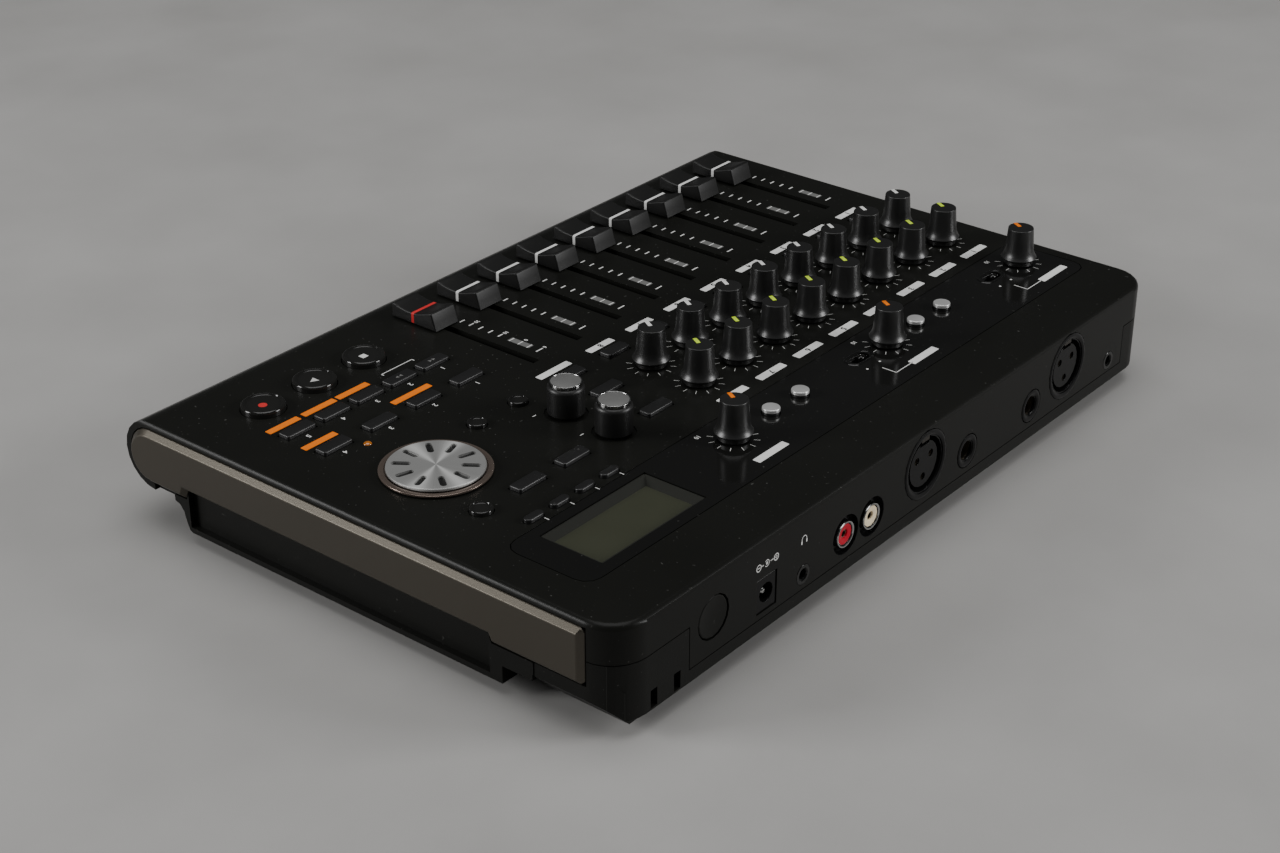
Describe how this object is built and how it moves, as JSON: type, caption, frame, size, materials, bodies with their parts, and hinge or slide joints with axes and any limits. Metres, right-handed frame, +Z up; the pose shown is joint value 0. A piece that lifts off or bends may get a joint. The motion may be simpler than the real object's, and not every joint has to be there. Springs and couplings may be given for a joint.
{
  "type": "digital_multitrack_recorder",
  "caption": "Desktop digital multitrack recorder with faders, pan and level knobs, display, data wheel, transport buttons and rear audio sockets",
  "frame": {"origin": "under the middle of the body, on the surface that the feet stand on", "axes": "+X to the user's right, +Y away from the user to the connector panel at the back, +Z up"},
  "size_m": [0.29, 0.1958, 0.0503],
  "materials": {
    "casing": "fine-grained moulded plastic, dark grey to black",
    "deck": "fine-grained moulded plastic, black",
    "trim": "warm grey metallic paint",
    "strip": "polished black plastic",
    "display": "grey-green display behind a clear window",
    "board": "green circuit board",
    "socket": "black moulded plastic",
    "phono": "plated metal",
    "fader_cap": "satin black plastic",
    "knob": "satin to glossy black plastic",
    "eq_knob": "black drum with a spun metal cap",
    "wheel": "radially brushed metal",
    "transport": "polished smoked plastic",
    "key": "satin black plastic",
    "silver_button": "plated plastic",
    "slide_lever": "polished black plastic"
  },
  "bodies": {
    "casing": {"top_casing": "casing", "bottom_casing": "deck", "side_trim_right": "trim", "side_trim_left": "trim", "control_strip": "strip", "display_module": "display", "panel_board": "board", "connector_board": "board", "microphone_socket_a": "socket", "microphone_socket_b": "socket", "line_jack_a": "socket", "line_jack_b": "socket", "phono_jack_pair": "phono", "power_inlet": "socket"},
    "fader_cap_track_1": {"fader_cap_track_1": "fader_cap"},
    "fader_cap_track_2": {"fader_cap_track_2": "fader_cap"},
    "fader_cap_track_3": {"fader_cap_track_3": "fader_cap"},
    "fader_cap_track_4": {"fader_cap_track_4": "fader_cap"},
    "fader_cap_track_5": {"fader_cap_track_5": "fader_cap"},
    "fader_cap_track_6": {"fader_cap_track_6": "fader_cap"},
    "fader_cap_track_7": {"fader_cap_track_7": "fader_cap"},
    "fader_cap_track_8": {"fader_cap_track_8": "fader_cap"},
    "fader_cap_master": {"fader_cap_master": "fader_cap"},
    "pan_knob_1": {"pan_knob_1": "knob"},
    "pan_knob_2": {"pan_knob_2": "knob"},
    "pan_knob_3": {"pan_knob_3": "knob"},
    "pan_knob_4": {"pan_knob_4": "knob"},
    "pan_knob_5": {"pan_knob_5": "knob"},
    "pan_knob_6": {"pan_knob_6": "knob"},
    "pan_knob_7": {"pan_knob_7": "knob"},
    "pan_knob_8": {"pan_knob_8": "knob"},
    "reverb_knob_1": {"reverb_knob_1": "knob"},
    "reverb_knob_2": {"reverb_knob_2": "knob"},
    "reverb_knob_3": {"reverb_knob_3": "knob"},
    "reverb_knob_4": {"reverb_knob_4": "knob"},
    "reverb_knob_5": {"reverb_knob_5": "knob"},
    "reverb_knob_6": {"reverb_knob_6": "knob"},
    "reverb_knob_7": {"reverb_knob_7": "knob"},
    "reverb_knob_8": {"reverb_knob_8": "knob"},
    "phones_level_knob": {"phones_level_knob": "knob"},
    "input_b_level_knob": {"input_b_level_knob": "knob"},
    "input_a_level_knob": {"input_a_level_knob": "knob"},
    "eq_low_knob": {"eq_low_knob": "eq_knob"},
    "eq_high_knob": {"eq_high_knob": "eq_knob"},
    "data_wheel": {"data_wheel": "wheel"},
    "record_button": {"record_button": "transport"},
    "play_button": {"play_button": "transport"},
    "stop_button": {"stop_button": "transport"},
    "record_arm_keys": {"record_arm_keys": "key"},
    "punch_and_wind_keys": {"punch_and_wind_keys": "key"},
    "locate_keys": {"locate_keys": "key"},
    "function_keys": {"function_keys": "key"},
    "menu_keys": {"menu_keys": "key"},
    "metronome_and_tuner_keys": {"metronome_and_tuner_keys": "key"},
    "eq_mute_keys": {"eq_mute_keys": "key"},
    "output_buttons": {"output_buttons": "silver_button"},
    "input_buttons": {"input_buttons": "silver_button"},
    "input_b_phase_switch": {"input_b_phase_switch": "slide_lever"},
    "input_a_phase_switch": {"input_a_phase_switch": "slide_lever"},
    "standby_button": {"standby_button": "key"}
  },
  "joints": [
    {"name": "fader_cap_track_1_slide", "type": "slide", "parent": "casing", "child": "fader_cap_track_1", "axis": [0, 1, 0], "range_m": [0, 0.045]},
    {"name": "fader_cap_track_2_slide", "type": "slide", "parent": "casing", "child": "fader_cap_track_2", "axis": [0, 1, 0], "range_m": [0, 0.045]},
    {"name": "fader_cap_track_3_slide", "type": "slide", "parent": "casing", "child": "fader_cap_track_3", "axis": [0, 1, 0], "range_m": [0, 0.045]},
    {"name": "fader_cap_track_4_slide", "type": "slide", "parent": "casing", "child": "fader_cap_track_4", "axis": [0, 1, 0], "range_m": [0, 0.045]},
    {"name": "fader_cap_track_5_slide", "type": "slide", "parent": "casing", "child": "fader_cap_track_5", "axis": [0, 1, 0], "range_m": [0, 0.045]},
    {"name": "fader_cap_track_6_slide", "type": "slide", "parent": "casing", "child": "fader_cap_track_6", "axis": [0, 1, 0], "range_m": [0, 0.045]},
    {"name": "fader_cap_track_7_slide", "type": "slide", "parent": "casing", "child": "fader_cap_track_7", "axis": [0, 1, 0], "range_m": [0, 0.045]},
    {"name": "fader_cap_track_8_slide", "type": "slide", "parent": "casing", "child": "fader_cap_track_8", "axis": [0, 1, 0], "range_m": [0, 0.045]},
    {"name": "fader_cap_master_slide", "type": "slide", "parent": "casing", "child": "fader_cap_master", "axis": [0, 1, 0], "range_m": [0, 0.045]},
    {"name": "pan_1_turn", "type": "hinge", "parent": "casing", "child": "pan_knob_1", "pos_m": [-0.12241, 0.0072, 0.044], "axis": [0, 0, -1], "range_deg": [0, 300]},
    {"name": "pan_2_turn", "type": "hinge", "parent": "casing", "child": "pan_knob_2", "pos_m": [-0.10246, 0.0072, 0.044], "axis": [0, 0, -1], "range_deg": [0, 300]},
    {"name": "pan_3_turn", "type": "hinge", "parent": "casing", "child": "pan_knob_3", "pos_m": [-0.0825, 0.0072, 0.044], "axis": [0, 0, -1], "range_deg": [0, 300]},
    {"name": "pan_4_turn", "type": "hinge", "parent": "casing", "child": "pan_knob_4", "pos_m": [-0.06255, 0.0072, 0.044], "axis": [0, 0, -1], "range_deg": [0, 300]},
    {"name": "pan_5_turn", "type": "hinge", "parent": "casing", "child": "pan_knob_5", "pos_m": [-0.0426, 0.0072, 0.044], "axis": [0, 0, -1], "range_deg": [0, 300]},
    {"name": "pan_6_turn", "type": "hinge", "parent": "casing", "child": "pan_knob_6", "pos_m": [-0.02265, 0.0072, 0.044], "axis": [0, 0, -1], "range_deg": [0, 300]},
    {"name": "pan_7_turn", "type": "hinge", "parent": "casing", "child": "pan_knob_7", "pos_m": [-0.0027, 0.0072, 0.044], "axis": [0, 0, -1], "range_deg": [0, 300]},
    {"name": "pan_8_turn", "type": "hinge", "parent": "casing", "child": "pan_knob_8", "pos_m": [0.01725, 0.0072, 0.044], "axis": [0, 0, -1], "range_deg": [0, 300]},
    {"name": "reverb_1_turn", "type": "hinge", "parent": "casing", "child": "reverb_knob_1", "pos_m": [-0.12241, 0.0264, 0.044], "axis": [0, 0, -1], "range_deg": [0, 300]},
    {"name": "reverb_2_turn", "type": "hinge", "parent": "casing", "child": "reverb_knob_2", "pos_m": [-0.10246, 0.0264, 0.044], "axis": [0, 0, -1], "range_deg": [0, 300]},
    {"name": "reverb_3_turn", "type": "hinge", "parent": "casing", "child": "reverb_knob_3", "pos_m": [-0.0825, 0.0264, 0.044], "axis": [0, 0, -1], "range_deg": [0, 300]},
    {"name": "reverb_4_turn", "type": "hinge", "parent": "casing", "child": "reverb_knob_4", "pos_m": [-0.06255, 0.0264, 0.044], "axis": [0, 0, -1], "range_deg": [0, 300]},
    {"name": "reverb_5_turn", "type": "hinge", "parent": "casing", "child": "reverb_knob_5", "pos_m": [-0.0426, 0.0264, 0.044], "axis": [0, 0, -1], "range_deg": [0, 300]},
    {"name": "reverb_6_turn", "type": "hinge", "parent": "casing", "child": "reverb_knob_6", "pos_m": [-0.02265, 0.0264, 0.044], "axis": [0, 0, -1], "range_deg": [0, 300]},
    {"name": "reverb_7_turn", "type": "hinge", "parent": "casing", "child": "reverb_knob_7", "pos_m": [-0.0027, 0.0264, 0.044], "axis": [0, 0, -1], "range_deg": [0, 300]},
    {"name": "reverb_8_turn", "type": "hinge", "parent": "casing", "child": "reverb_knob_8", "pos_m": [0.01725, 0.0264, 0.044], "axis": [0, 0, -1], "range_deg": [0, 300]},
    {"name": "phones_level_turn", "type": "hinge", "parent": "casing", "child": "phones_level_knob", "pos_m": [0.0396, 0.0567, 0.044], "axis": [0, 0, -1], "range_deg": [0, 300]},
    {"name": "input_b_level_turn", "type": "hinge", "parent": "casing", "child": "input_b_level_knob", "pos_m": [-0.0426, 0.0567, 0.044], "axis": [0, 0, -1], "range_deg": [0, 300]},
    {"name": "input_a_level_turn", "type": "hinge", "parent": "casing", "child": "input_a_level_knob", "pos_m": [-0.124, 0.0567, 0.044], "axis": [0, 0, -1], "range_deg": [0, 300]},
    {"name": "eq_low_turn", "type": "hinge", "parent": "casing", "child": "eq_low_knob", "pos_m": [0.0588, 0.00749, 0.044], "axis": [0, 0, -1], "continuous": true},
    {"name": "eq_high_turn", "type": "hinge", "parent": "casing", "child": "eq_high_knob", "pos_m": [0.0588, 0.0264, 0.044], "axis": [0, 0, -1], "continuous": true},
    {"name": "data_wheel_turn", "type": "hinge", "parent": "casing", "child": "data_wheel", "pos_m": [0.10979, 0.00161, 0.044], "axis": [0, 0, -1], "continuous": true},
    {"name": "record_button_press", "type": "slide", "parent": "casing", "child": "record_button", "axis": [0, 0, -1], "range_m": [0, 0.001], "stiffness_N_per_m": 400, "springref_m": -0.0008},
    {"name": "play_button_press", "type": "slide", "parent": "casing", "child": "play_button", "axis": [0, 0, -1], "range_m": [0, 0.001], "stiffness_N_per_m": 400, "springref_m": -0.0008},
    {"name": "stop_button_press", "type": "slide", "parent": "casing", "child": "stop_button", "axis": [0, 0, -1], "range_m": [0, 0.001], "stiffness_N_per_m": 400, "springref_m": -0.0008},
    {"name": "record_arm_keys_press", "type": "slide", "parent": "casing", "child": "record_arm_keys", "axis": [0, 0, -1], "range_m": [0, 0.0008], "stiffness_N_per_m": 400, "springref_m": -0.0008},
    {"name": "punch_and_wind_keys_press", "type": "slide", "parent": "casing", "child": "punch_and_wind_keys", "axis": [0, 0, -1], "range_m": [0, 0.0008], "stiffness_N_per_m": 400, "springref_m": -0.0008},
    {"name": "locate_keys_press", "type": "slide", "parent": "casing", "child": "locate_keys", "axis": [0, 0, -1], "range_m": [0, 0.0008], "stiffness_N_per_m": 400, "springref_m": -0.0008},
    {"name": "function_keys_press", "type": "slide", "parent": "casing", "child": "function_keys", "axis": [0, 0, -1], "range_m": [0, 0.0008], "stiffness_N_per_m": 400, "springref_m": -0.0008},
    {"name": "menu_keys_press", "type": "slide", "parent": "casing", "child": "menu_keys", "axis": [0, 0, -1], "range_m": [0, 0.0008], "stiffness_N_per_m": 400, "springref_m": -0.0008},
    {"name": "metronome_and_tuner_keys_press", "type": "slide", "parent": "casing", "child": "metronome_and_tuner_keys", "axis": [0, 0, -1], "range_m": [0, 0.0008], "stiffness_N_per_m": 400, "springref_m": -0.0008},
    {"name": "eq_mute_keys_press", "type": "slide", "parent": "casing", "child": "eq_mute_keys", "axis": [0, 0, -1], "range_m": [0, 0.0008], "stiffness_N_per_m": 400, "springref_m": -0.0008},
    {"name": "output_buttons_press", "type": "slide", "parent": "casing", "child": "output_buttons", "axis": [0, 0, -1], "range_m": [0, 0.0008], "stiffness_N_per_m": 400, "springref_m": -0.0008},
    {"name": "input_buttons_press", "type": "slide", "parent": "casing", "child": "input_buttons", "axis": [0, 0, -1], "range_m": [0, 0.0008], "stiffness_N_per_m": 400, "springref_m": -0.0008},
    {"name": "input_b_phase_switch_slide", "type": "slide", "parent": "casing", "child": "input_b_phase_switch", "axis": [1, 0, 0], "range_m": [0, 0.003]},
    {"name": "input_a_phase_switch_slide", "type": "slide", "parent": "casing", "child": "input_a_phase_switch", "axis": [1, 0, 0], "range_m": [0, 0.003]},
    {"name": "standby_button_press", "type": "slide", "parent": "casing", "child": "standby_button", "axis": [0, -1, 0], "range_m": [0, 0.001], "stiffness_N_per_m": 400, "springref_m": -0.0008}
  ]
}
